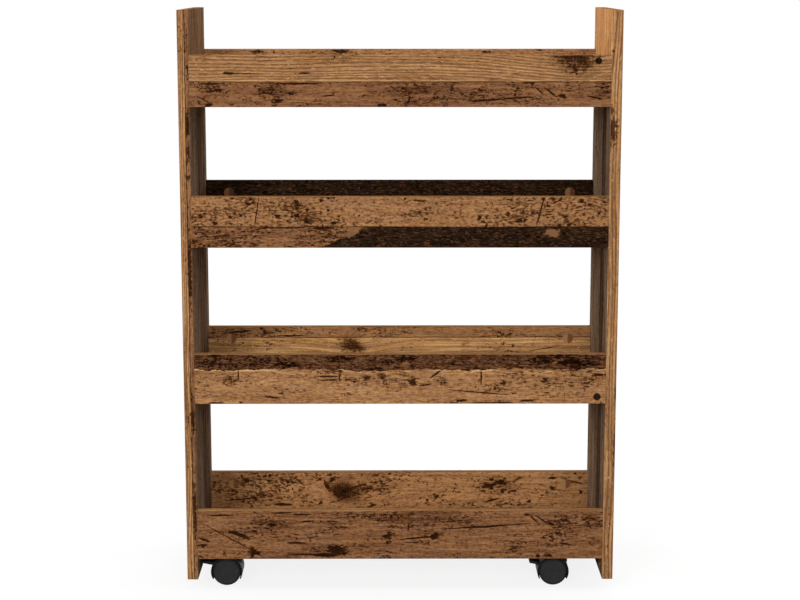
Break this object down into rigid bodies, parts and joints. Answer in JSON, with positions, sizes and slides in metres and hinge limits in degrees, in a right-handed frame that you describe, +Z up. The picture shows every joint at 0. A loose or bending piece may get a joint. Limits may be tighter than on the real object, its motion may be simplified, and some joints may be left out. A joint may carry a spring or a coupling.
{
  "type": "rolling storage cart",
  "caption": "Narrow rolling storage cart in rustic wood-decor boards: side panels hold open trays with front and back rails, on swivel casters with foot brakes.",
  "frame": {"origin": "on the floor under the middle of the cart", "axes": "+Z up, -Y out of the front, +X to the right as seen from the front"},
  "size_m": [0.6, 0.22, 0.81],
  "materials": {
    "panel_decor": "printed old-wood decor, matte",
    "shelf_decor": "printed old-wood decor, matte",
    "bottom_rail_decor": "printed old-wood decor, matte",
    "lower_rail_decor": "printed old-wood decor, matte",
    "upper_rail_decor": "printed old-wood decor, matte",
    "top_rail_decor": "printed old-wood decor, matte",
    "cap_decor": "printed old-wood decor, matte",
    "cast_zinc": "as cast",
    "steel": "zinc plated",
    "beech": "bare, grooved",
    "caster_black": "moulded, satin",
    "wheel_grey": "moulded, satin"
  },
  "bodies": {
    "frame": {"left_side_panel": "panel_decor", "right_side_panel": "panel_decor", "bottom_shelf": "shelf_decor", "bottom_front_rail": "bottom_rail_decor", "bottom_back_rail": "bottom_rail_decor", "lower_shelf": "shelf_decor", "lower_front_rail": "lower_rail_decor", "lower_back_rail": "lower_rail_decor", "upper_shelf": "shelf_decor", "upper_front_rail": "upper_rail_decor", "upper_back_rail": "upper_rail_decor", "top_shelf": "shelf_decor", "top_front_rail": "top_rail_decor", "top_back_rail": "top_rail_decor", "rail_cam_locks": "cast_zinc", "rail_cam_caps": "cap_decor", "rail_cam_bolts": "steel", "rail_dowels": "beech", "shelf_cam_locks": "cast_zinc", "shelf_cam_bolts": "steel", "shelf_dowels": "beech", "caster_screws": "steel", "front_left_caster_plate": "steel", "front_left_caster_swivel_pin": "steel", "front_right_caster_plate": "steel", "front_right_caster_swivel_pin": "steel", "back_left_caster_plate": "steel", "back_left_caster_swivel_pin": "steel", "back_right_caster_plate": "steel", "back_right_caster_swivel_pin": "steel"},
    "front_left_swivel": {"front_left_caster_hood": "caster_black", "front_left_caster_axle": "steel", "front_left_caster_brake_pin": "steel"},
    "front_left_near_wheel": {"front_left_caster_near_wheel": "wheel_grey"},
    "front_left_far_wheel": {"front_left_caster_far_wheel": "wheel_grey"},
    "front_left_brake_lever": {"front_left_caster_brake_lever": "caster_black"},
    "front_right_swivel": {"front_right_caster_hood": "caster_black", "front_right_caster_axle": "steel", "front_right_caster_brake_pin": "steel"},
    "front_right_near_wheel": {"front_right_caster_near_wheel": "wheel_grey"},
    "front_right_far_wheel": {"front_right_caster_far_wheel": "wheel_grey"},
    "front_right_brake_lever": {"front_right_caster_brake_lever": "caster_black"},
    "back_left_swivel": {"back_left_caster_hood": "caster_black", "back_left_caster_axle": "steel"},
    "back_left_near_wheel": {"back_left_caster_near_wheel": "wheel_grey"},
    "back_left_far_wheel": {"back_left_caster_far_wheel": "wheel_grey"},
    "back_right_swivel": {"back_right_caster_hood": "caster_black", "back_right_caster_axle": "steel"},
    "back_right_near_wheel": {"back_right_caster_near_wheel": "wheel_grey"},
    "back_right_far_wheel": {"back_right_caster_far_wheel": "wheel_grey"}
  },
  "joints": [
    {"name": "front_left_swivel_turn", "type": "hinge", "parent": "frame", "child": "front_left_swivel", "pos_m": [-0.23204, -0.073, 0.043], "axis": [0, 0, 1], "continuous": true},
    {"name": "front_left_near_wheel_spin", "type": "hinge", "parent": "front_left_swivel", "child": "front_left_near_wheel", "pos_m": [-0.24654, -0.0845, 0.02], "axis": [0, 1, 0], "continuous": true},
    {"name": "front_left_far_wheel_spin", "type": "hinge", "parent": "front_left_swivel", "child": "front_left_far_wheel", "pos_m": [-0.24654, -0.0615, 0.02], "axis": [0, 1, 0], "continuous": true},
    {"name": "front_left_brake_press", "type": "hinge", "parent": "front_left_swivel", "child": "front_left_brake_lever", "pos_m": [-0.26054, -0.073, 0.02863], "axis": [0, -1, 0], "range_deg": [0, 16]},
    {"name": "front_right_swivel_turn", "type": "hinge", "parent": "frame", "child": "front_right_swivel", "pos_m": [0.23204, -0.073, 0.043], "axis": [0, 0, 1], "continuous": true},
    {"name": "front_right_near_wheel_spin", "type": "hinge", "parent": "front_right_swivel", "child": "front_right_near_wheel", "pos_m": [0.21754, -0.0845, 0.02], "axis": [0, 1, 0], "continuous": true},
    {"name": "front_right_far_wheel_spin", "type": "hinge", "parent": "front_right_swivel", "child": "front_right_far_wheel", "pos_m": [0.21754, -0.0615, 0.02], "axis": [0, 1, 0], "continuous": true},
    {"name": "front_right_brake_press", "type": "hinge", "parent": "front_right_swivel", "child": "front_right_brake_lever", "pos_m": [0.20354, -0.073, 0.02863], "axis": [0, -1, 0], "range_deg": [0, 16]},
    {"name": "back_left_swivel_turn", "type": "hinge", "parent": "frame", "child": "back_left_swivel", "pos_m": [-0.23204, 0.073, 0.043], "axis": [0, 0, 1], "continuous": true},
    {"name": "back_left_near_wheel_spin", "type": "hinge", "parent": "back_left_swivel", "child": "back_left_near_wheel", "pos_m": [-0.24654, 0.0615, 0.02], "axis": [0, 1, 0], "continuous": true},
    {"name": "back_left_far_wheel_spin", "type": "hinge", "parent": "back_left_swivel", "child": "back_left_far_wheel", "pos_m": [-0.24654, 0.0845, 0.02], "axis": [0, 1, 0], "continuous": true},
    {"name": "back_right_swivel_turn", "type": "hinge", "parent": "frame", "child": "back_right_swivel", "pos_m": [0.23204, 0.073, 0.043], "axis": [0, 0, 1], "continuous": true},
    {"name": "back_right_near_wheel_spin", "type": "hinge", "parent": "back_right_swivel", "child": "back_right_near_wheel", "pos_m": [0.21754, 0.0615, 0.02], "axis": [0, 1, 0], "continuous": true},
    {"name": "back_right_far_wheel_spin", "type": "hinge", "parent": "back_right_swivel", "child": "back_right_far_wheel", "pos_m": [0.21754, 0.0845, 0.02], "axis": [0, 1, 0], "continuous": true}
  ]
}
